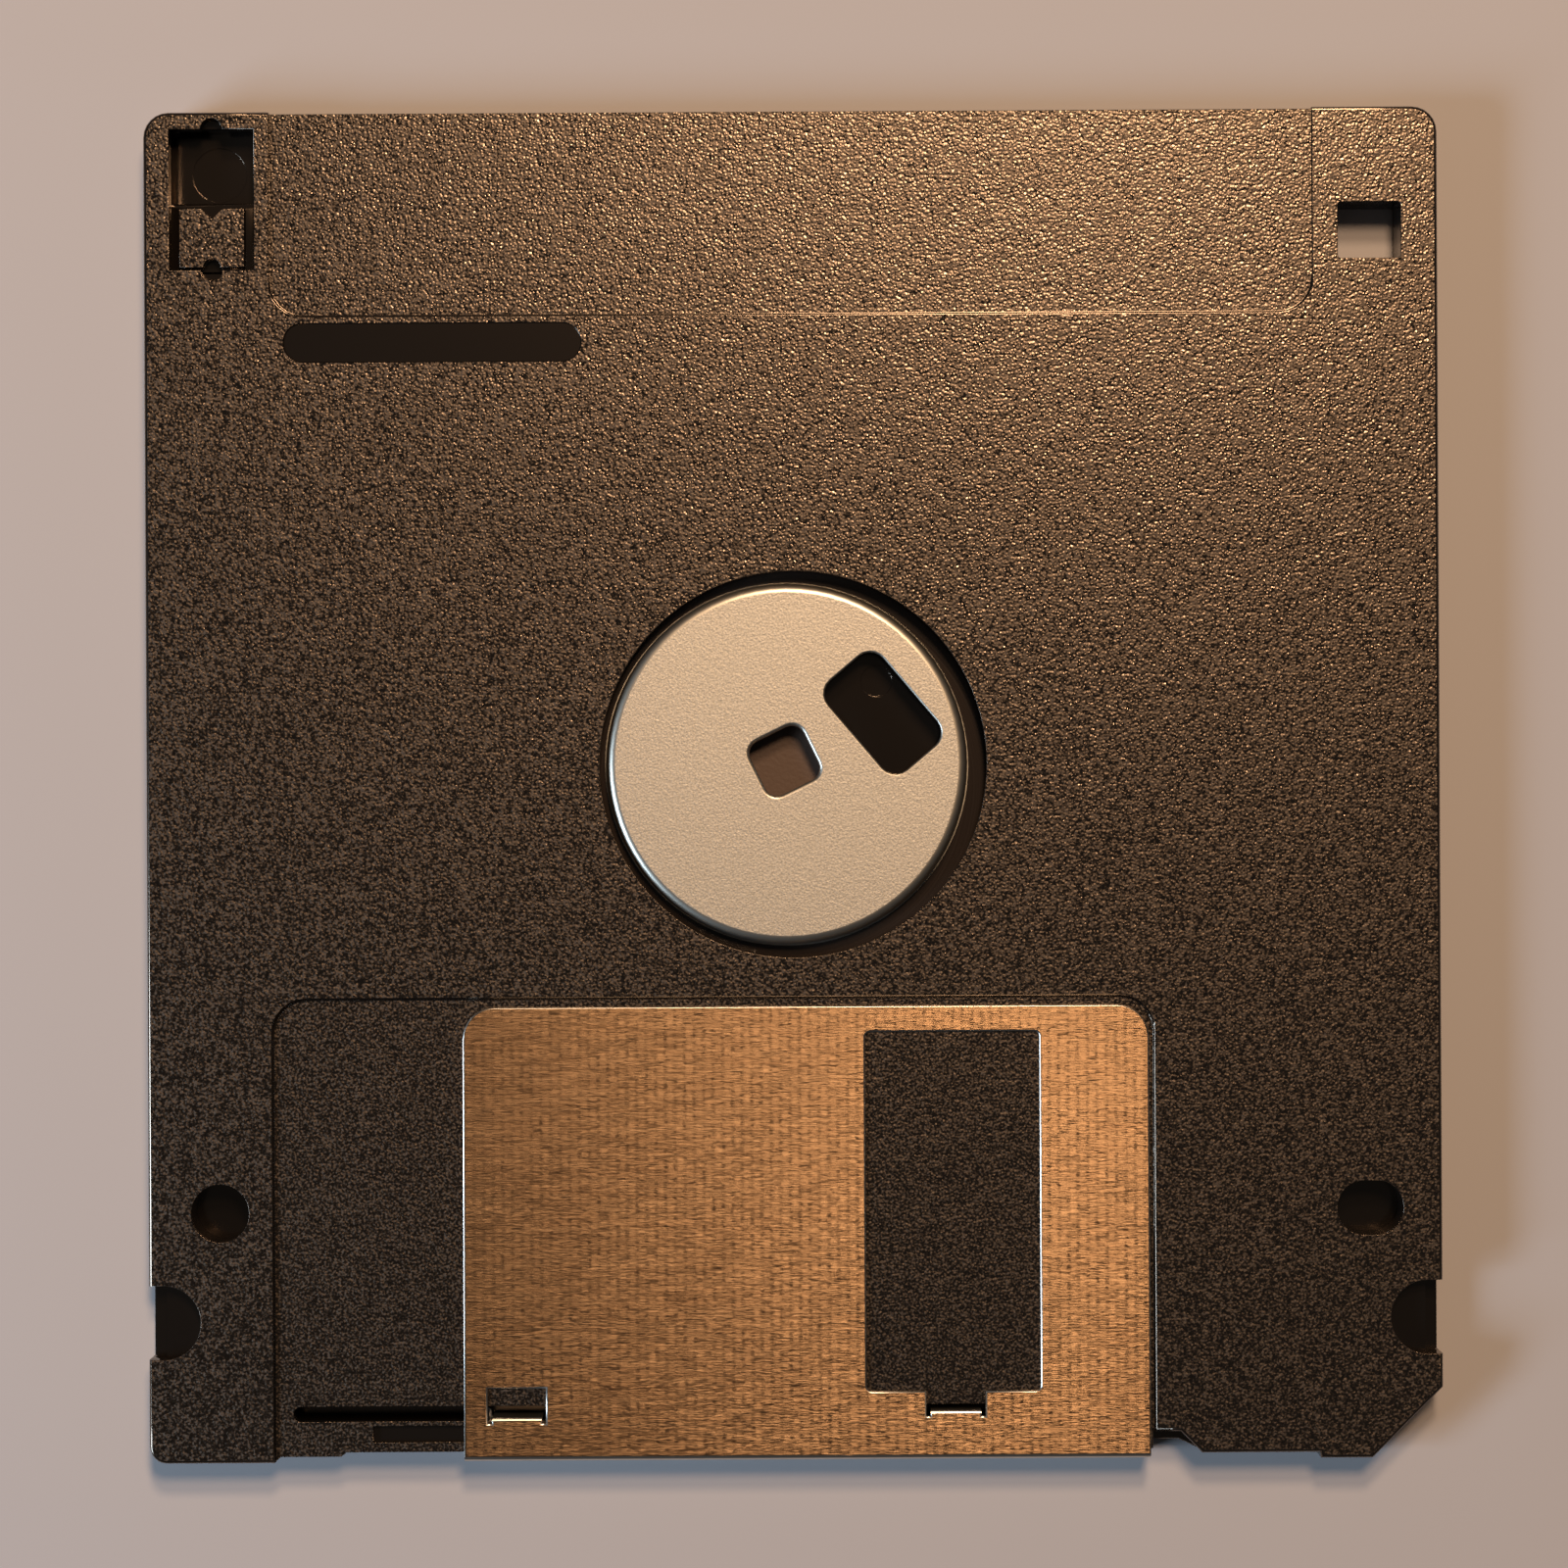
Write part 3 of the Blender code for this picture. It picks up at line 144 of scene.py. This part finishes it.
class Recipe:
    def __init__(self, name, colour, roughness, metallic=0.0, specular=0.5):
        self.material = bpy.data.materials.new(name)
        self.material.use_nodes = True
        self.tree = self.material.node_tree
        self.shader = self.tree.nodes["Principled BSDF"]
        self.set("Base Color", (*colour, 1))
        self.set("Roughness", roughness)
        self.set("Metallic", metallic)
        self.set("Specular IOR Level", specular)
        self.material.diffuse_color = (*colour, 1)

    def add(self, kind, settings=None, sockets=None):
        node = self.tree.nodes.new(kind)
        for key, value in (settings or {}).items():
            setattr(node, key, value)
        for key, value in (sockets or {}).items():
            self.feed(node.inputs[key], value)
        return node

    def feed(self, socket, value):
        if isinstance(value, Wire):
            self.tree.links.new(value.socket, socket)
        elif isinstance(value, bpy.types.NodeSocket):
            self.tree.links.new(value, socket)
        else:
            socket.default_value = value

    def set(self, name, value):
        self.feed(self.shader.inputs[name], value)

    def place(self, stretch=(1, 1, 1)):
        """Object coordinates, stretched along the axes."""
        spot = self.add("ShaderNodeTexCoord")
        mapping = self.add("ShaderNodeMapping", None,
                           {"Vector": spot.outputs["Object"], "Scale": stretch})
        return mapping.outputs[0]

    def along(self, axis):
        spot = self.add("ShaderNodeTexCoord")
        split = self.add("ShaderNodeSeparateXYZ", None, {0: spot.outputs["Object"]})
        return Wire(self, split.outputs[axis])

    def noise(self, grain, stretch=(1, 1, 1), detail=2.0, rough=0.5):
        """Soft noise whose blobs are about one grain across, in metres."""
        node = self.add("ShaderNodeTexNoise", None, {
            "Vector": self.place(stretch), "Scale": 1 / grain, "Detail": detail,
            "Roughness": rough})
        return Wire(self, node.outputs["Fac"])

    def pebbles(self, grain):
        """Rounded lumps about one grain across, in metres."""
        node = self.add("ShaderNodeTexVoronoi", {"feature": "SMOOTH_F1"}, {
            "Vector": self.place(), "Scale": 1 / grain, "Smoothness": 0.6})
        return 1 - Wire(self, node.outputs["Distance"])

    def mix(self, amount, first, second):
        node = self.add("ShaderNodeMix", {"data_type": "RGBA"},
                        {0: amount, 6: first, 7: second})
        return node.outputs[2]

    def bump(self, height, depth, step=0.1):
        """Tilts the normal; the step that measures the slope is in pixels."""
        node = self.add("ShaderNodeBump", None, {
            "Height": height, "Distance": depth, "Filter Width": step})
        self.set("Normal", node.outputs["Normal"])


# %% [markdown]
# ## Floor and light
# The disk lies on a plain pale table. A soft warm lamp stands past the label
# end, 39 degrees off the vertical, as the shadow in the density hole shows. A
# second warm one is nearer the lens and further right, and draws the glints of
# the grain, which fade toward the lower left. Two cool ones stand low at the
# left, as two panes of a window would. One leaves the warm shadows at the
# right and the top, and the other draws the left edges of the hub, the shutter
# and the case. The room itself is dim and even.

# %% Floor and light
def lamp(name, place, size, power, colour):
    """A round lamp that faces the middle of the table."""
    data = bpy.data.lights.new(name, "AREA")
    data.shape = "DISK"
    data.size = size
    data.energy = power
    data.color = colour
    item = bpy.data.objects.new(name, data)
    item.location = place
    item.rotation_euler = Vector(place).to_track_quat("Z", "Y").to_euler()
    bpy.context.scene.collection.objects.link(item)


lamp("key", (0.042, 0.40, 0.50), 0.10, 2.0, (1.0, 0.68, 0.42))
lamp("glint", (0.08, 0.26, 0.54), 0.13, 2.05, (1.0, 0.66, 0.40))
lamp("fill", (-0.45, -0.20, 0.22), 0.16, 1.3, (0.62, 0.81, 1.0))
lamp("edge", (-0.45, -0.09, 0.26), 0.11, 1.1, (0.68, 0.84, 1.0))

world = bpy.data.worlds.new("room")
world.use_nodes = True
room = world.node_tree.nodes["Background"]
room.inputs["Color"].default_value = (1.0, 0.98, 0.96, 1)
room.inputs["Strength"].default_value = 0.04
bpy.context.scene.world = world

TABLE_RADIUS = 1.5
floor_bm = bmesh.new()
bmesh.ops.create_circle(floor_bm, cap_ends=True, segments=64, radius=TABLE_RADIUS)
floor_mesh = bpy.data.meshes.new("table")
floor_bm.to_mesh(floor_mesh)
floor_bm.free()
table = bpy.data.objects.new("table", floor_mesh)
bpy.context.scene.collection.objects.link(table)
table_paint = Recipe("pale table", (0.40, 0.385, 0.40), 0.7, specular=0.2)
table.data.materials.append(table_paint.material)
bpy.context.scene.view_settings.view_transform = "Standard"
print("table", TABLE_RADIUS, "m in radius, lit by", len(bpy.data.lights), "lamps")

# %% [markdown]
# ## Sparkling black plastic
# The mould was eroded to a fine matt grain, so the black plastic breaks the
# lamp up into tiny brown specks about a fifth of a millimetre across. Rounded
# lumps in the bump make the glints. The lumps are also polished unevenly, and
# a rough one sends far more light to the lens than a smooth one, so noise in
# the roughness makes the dark and light specks. Its cube leaves most of the
# surface dark, with a few light specks. Only the outer faces have the
# grain: they lie at known heights, so a mask on z keeps the walls, the floors
# of holes and the smooth stripe plain.

# %% Case material
SKIN = 0.01 * MM


def case_plastic(name, grain_heights):
    """Black plastic with a grain on the faces at these heights."""
    paint = Recipe(name, (0.0045, 0.0036, 0.0032), 0.30, specular=1.0)
    z = paint.along(2)
    grain = None
    for height in grain_heights:
        band = (z > height - SKIN) * (z < height + SKIN)
        grain = band if grain is None else grain + band
    pebble = paint.pebbles(0.20 * MM)
    speck = paint.noise(0.17 * MM, detail=1.0)
    patch = paint.noise(0.40 * MM, detail=1.0)
    paint.bump((pebble + 0.8 * patch) * grain, 0.031 * MM)
    polish = 1.7 * speck * speck * speck + 0.35 * patch - 0.235
    paint.set("Roughness", 0.15 + polish * grain)
    paint.set("IOR", 1.57)
    # The warm specular tint is painted warm light: it gives every glint of the grain the
    # brown of the warm lamps.
    paint.set("Specular Tint", (1.0, 0.80, 0.64, 1))
    return paint.material


print("plain faces keep roughness 0.15, grained ones swing about 0.30")

# %% [markdown]
# ## Softened edges
# The frame's solids are right in every opening, but their edges are knife
# sharp. Real ones are rounded by a few hundredths of a millimetre, and show as
# thin dark or bright lines. A copy of a solid is cleaned up, the edges that
# run along its steps are picked by height, and bevel rounds them. Picking by
# height gives each step its own radius, which a Bevel modifier can't do.

# %% Softened copies
SAME_POINT = 1e-7
SAME_HEIGHT = 0.004 * MM


def clean_copy(node):
    """A bmesh of a frame node with its doubles and flat seams taken out."""
    bm = bmesh.new()
    bm.from_mesh(nodes[node].data)
    bmesh.ops.remove_doubles(bm, verts=bm.verts, dist=SAME_POINT)
    bmesh.ops.dissolve_limit(bm, angle_limit=math.radians(0.3), verts=bm.verts,
                             edges=bm.edges)
    return bm


def near(value, wanted):
    return abs(value - wanted) < SAME_HEIGHT


def step_edges(bm, low_z, high_z):
    """The edges at the top and the foot of walls between two heights."""
    found = set()
    for face in bm.faces:
        if abs(face.normal.z) > 0.2:
            continue
        heights = [vert.co.z for vert in face.verts]
        if near(min(heights), low_z) and near(max(heights), high_z):
            found.update(edge for edge in face.edges
                         if near(edge.verts[0].co.z, edge.verts[1].co.z))
    return found


def rim_edges(bm, height):
    """The sharp level edges at one height."""
    return {edge for edge in bm.edges
            if len(edge.link_faces) == 2
            and near(edge.verts[0].co.z, height) and near(edge.verts[1].co.z, height)
            and edge.calc_face_angle() > math.radians(60)}


def soften(bm, edges, width, segments):
    bmesh.ops.bevel(bm, geom=list(edges), offset=width, segments=segments,
                    profile=0.5, affect="EDGES", material=-1, clamp_overlap=False)


def finished(bm, name, body, material, sharp=50):
    """The mesh as a piece that stands for its frame node."""
    bmesh.ops.dissolve_degenerate(bm, dist=SAME_POINT, edges=bm.edges)
    mesh = bpy.data.meshes.new(name + "_soft")
    bm.to_mesh(mesh)
    bm.free()
    piece = bpy.data.objects.new(name + "_soft", mesh)
    bpy.context.scene.collection.objects.link(piece)
    mesh.materials.append(material)
    mesh.shade_smooth()
    mesh.set_sharp_from_angle(angle=math.radians(sharp))
    even = piece.modifiers.new("flat faces stay flat", "WEIGHTED_NORMAL")
    even.keep_sharp = True
    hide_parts(name)
    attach(piece, body)
    print(piece.name, len(mesh.polygons), "faces")
    return piece


# %% [markdown]
# ## The two half shells
# Both shells have a shallow label recess and a deeper one for the shutter. The
# top and the foot of those steps get a flat 45 degree facet each, 0.10 mm and
# 0.12 mm wide. A facet that steep reflects only the dim room, which makes the
# dark lines round the recesses. Holes and notches get a finer, rounded edge,
# as do the shallow ejector marks on the floor of the tab's well. The outline
# keeps the larger round that the solid already has.

# %% Shells
FACETS = {0.2 * MM: 0.10 * MM, 0.27 * MM: 0.12 * MM, 0.1 * MM: 0.045 * MM}
GRAINED = (0, 0.2 * MM, 0.27 * MM)
EJECTOR_MARKS = (0.85 * MM, 0.9 * MM)
RIM = 0.05 * MM
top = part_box("back_shell")[1][2]
back_plastic = case_plastic("grained black plastic",
                            [top - depth for depth in GRAINED])
front_plastic = case_plastic("grained black plastic, label side", GRAINED)
back = clean_copy("back_shell")
front = clean_copy("front_shell")
for depth, width in FACETS.items():
    soften(back, step_edges(back, top - depth, top), width, 1)
    soften(front, step_edges(front, 0, depth), width, 1)
for depth in GRAINED:
    soften(back, rim_edges(back, top - depth), RIM, 2)
    soften(front, rim_edges(front, depth), RIM, 2)
soften(front, step_edges(front, *EJECTOR_MARKS), 0.022 * MM, 2)
finished(back, "back_shell", "case", back_plastic, sharp=40)
finished(front, "front_shell", "case", front_plastic, sharp=40)

# %% [markdown]
# ## Write-protect tab
# The tab is the same black plastic. Its pad is grained like the case, and the
# plate round it is smooth. Pushed right back, the plate's outer corner meets
# the rounded corner of the case, so it gets an arc twice as wide. The arc's
# own points are moved apart, which is simpler than cutting a new one. The end
# of the plate that shows beside the well has a rolled lip.

# %% Tab
PAD_HEIGHT = 0.78 * MM
ARC_REACH = 0.21 * MM
tab_low, tab_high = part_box("write_protect_tab")
pad_top = tab_high[2]
plate_top = pad_top - PAD_HEIGHT
plate_end = tab_high[1]
plate_corner = Vector((tab_low[0], plate_end, 0))
tab_plastic = case_plastic("tab plastic", (pad_top,))
tab = clean_copy("write_protect_tab")
for vert in tab.verts:
    inward = vert.co - plate_corner
    if abs(inward.x) < ARC_REACH and abs(inward.y) < ARC_REACH:
        vert.co.xy = (plate_corner + 2 * inward).xy
soften(tab, rim_edges(tab, pad_top), RIM, 2)
lip = {edge for edge in rim_edges(tab, plate_top)
       if near(edge.verts[0].co.y, plate_end) and near(edge.verts[1].co.y, plate_end)}
soften(tab, lip, 0.25 * MM, 4)
finished(tab, "write_protect_tab", "write_protect_tab", tab_plastic)

# %% [markdown]
# ## Brushed shutter
# The shutter's sheet was brushed from side to side. That leaves hairs finer
# than the picture's pixels, and a few coarser streaks about 3 mm long. Noise
# stretched along X makes both. The hairs tilt the surface only across the
# brushing, which smears the lamp toward the viewer but not sideways, so the
# sheet is bright at the right and dark at the left. The Bump node finds a
# slope by stepping a little way over the surface. Its usual step is a third
# of a hair wide, and would turn brushed steel into blasted steel, so it gets
# a fifth of that. The streaks also mottle the colour and the roughness. The
# faces are painted a dark warm brown, which is painted shade with the warm
# lamps' tint: the steel itself is the grey of its edges. The punch left the
# edges rolled over: those are smooth bare steel, and the left ones shine in
# the cool lamp.

# %% Shutter
# Its dark warm brown is painted shade with the warm lamps' tint; the steel itself is grey.
steel = Recipe("brushed steel", (0.18, 0.11, 0.065), 0.30, metallic=1.0)
hair = steel.noise(0.020 * MM, stretch=(0.03, 1, 1), detail=0.0)
streak = steel.noise(0.10 * MM, stretch=(0.03, 1, 1), detail=1.0)
cloud = steel.noise(6 * MM, detail=1.0)
sheet_low, sheet_top = (corner[2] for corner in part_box("shutter"))
z = steel.along(2)
flat = (z > sheet_top - SKIN) + (z < sheet_low + SKIN)
steel.bump((hair + 0.25 * streak) * flat, 0.0135 * MM, step=0.02)
steel.set("Roughness", 0.30 + (0.08 * streak + 0.05 * cloud - 0.05) * flat)
# Painted shade: the faces get a dark warm brown, mottled by the streaks, and the edges
# keep the grey of bare steel.
brushed = steel.mix(streak, (0.10, 0.059, 0.033, 1), (0.25, 0.166, 0.098, 1))
steel.set("Base Color", steel.mix(flat, (0.62, 0.60, 0.56, 1), brushed))

shutter = clean_copy("shutter")
for height in (sheet_top, sheet_low):
    soften(shutter, rim_edges(shutter, height), 0.15 * MM, 5)
finished(shutter, "shutter", "shutter", steel.material)

# %% [markdown]
# ## Hub
# The hub is pressed from steel and bead-blasted, so its face is evenly grey
# with a very fine grain. The drawn rim and the rolled edges of its two holes
# stay smooth, and catch the lamps as bright lines. Like those of the case,
# they come from a copy of the solid, with the widest bevel round the middle
# hole.

# %% Hub
hub_low, hub_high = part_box("hub")
hub_top = hub_high[2]
hub_centre = (Vector(hub_low) + Vector(hub_high)) / 2
blasted = Recipe("bead-blasted steel", (0.70, 0.60, 0.49), 0.50, metallic=1.0)
face = blasted.along(2) > hub_top - SKIN
peen = blasted.noise(0.16 * MM, detail=1.0, rough=0.6)
speck = blasted.noise(0.13 * MM, detail=0.0)
blasted.bump(peen * face, 0.016 * MM)
blasted.set("Roughness", 0.38 + 0.14 * face)
blasted.set("Base Color", blasted.mix(0.5 + 2.8 * (speck - 0.5) * face,
                                      (0.42, 0.395, 0.345, 1), (0.565, 0.53, 0.465, 1)))

MIDDLE_REACH = 3.5 * MM


def round_the_middle(bm):
    """The rim edges of the middle hole, all within reach of the centre."""
    return {edge for edge in rim_edges(bm, hub_top)
            if ((edge.verts[0].co + edge.verts[1].co) / 2
                - hub_centre).xy.length < MIDDLE_REACH}


hub = clean_copy("hub")
soften(hub, rim_edges(hub, hub_top) - round_the_middle(hub), 0.16 * MM, 4)
soften(hub, round_the_middle(hub), 0.28 * MM, 6)
finished(hub, "hub", "disc", blasted.material)

# %% [markdown]
# ## Disc, bond and small sheets
# The coated film is almost black and glossy, with faint circles left by the
# liners. A picture of circles could be laid on it, but noise along the distance
# from the middle draws them with three nodes. The bond, the lifter and the
# wear pad are plain sheet pieces. Their solids are right as they are, so they
# only get a material.

# %% Disc and small sheets
coating = Recipe("magnetic coating", (0.016, 0.011, 0.0085), 0.20)
far = coating.add("ShaderNodeVectorMath", {"operation": "LENGTH"}, {
    0: coating.place((1, 1, 0))})
circles = coating.add("ShaderNodeTexNoise", {"noise_dimensions": "1D"}, {
    "W": far.outputs["Value"], "Scale": 1 / (0.15 * MM), "Detail": 2.0})
coating.set("Roughness", 0.15 + 0.12 * Wire(coating, circles.outputs["Fac"]))

bond = Recipe("adhesive", (0.55, 0.52, 0.44), 0.55)
bond.bump(bond.noise(0.4 * MM), 0.01 * MM)
film = Recipe("polyester film", (0.74, 0.73, 0.68), 0.25)
film.bump(film.noise(2 * MM), 0.01 * MM)
wear = Recipe("wear pad", (0.085, 0.052, 0.038), 0.6)
wear.bump(wear.noise(0.25 * MM), 0.02 * MM)
for node, paint in (("magnetic_disc", coating), ("hub_adhesive_ring", bond),
                    ("liner_lifter", film), ("hub_wear_pad", wear)):
    nodes[node].data.materials.clear()
    nodes[node].data.materials.append(paint.material)
    print(node, "is", paint.material.name)

# %% [markdown]
# ## Liners
# Each liner is a ring of soft white non-woven fabric that wipes the disc. It
# lies flat between the disc and a shell, so a cloth simulation would leave it
# where it is. A copy of the solid is declared as a sheet instead, with the
# size of the square that it was cut from, and stretched noise gives it loose
# fibres.

# %% Liners
fleece = Recipe("non-woven liner", (0.74, 0.73, 0.71), 0.95)
fibres = fleece.noise(0.12 * MM, stretch=(1, 0.3, 1), detail=3.0, rough=0.7)
fleece.bump(fibres, 0.05 * MM)
fleece.set("Base Color", fleece.mix(fibres, (0.55, 0.54, 0.52, 1),
                                    (0.84, 0.83, 0.81, 1)))


def liner(node):
    """A liner that was cut from a square and lies on one of the shells."""
    piece = finished(clean_copy(node), node, "case", fleece.material)


liner("lower_liner")
liner("upper_liner")

# %% [markdown]
# ## Spring
# The V spring is a single wire. A curve with a round bevel could make it, but
# the frame's eight-sided one is as round as a wire this thin can look, and a
# copy of it gets a steel finish. Its legs close as the shutter opens. A rigid
# piece can't follow that; the copy only gets a mesh of its own.

# %% Spring
wire = Recipe("spring wire", (0.60, 0.58, 0.55), 0.28, metallic=1.0)
wire.bump(wire.noise(0.1 * MM, stretch=(0.2, 1, 1)), 0.005 * MM)
spring = finished(clean_copy("shutter_spring"), "shutter_spring", "case",
                  wire.material)
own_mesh(spring)

# %% [markdown]
# ## Finish
# The view layer is brought up to date.

# %% Finish
bpy.context.view_layer.update()
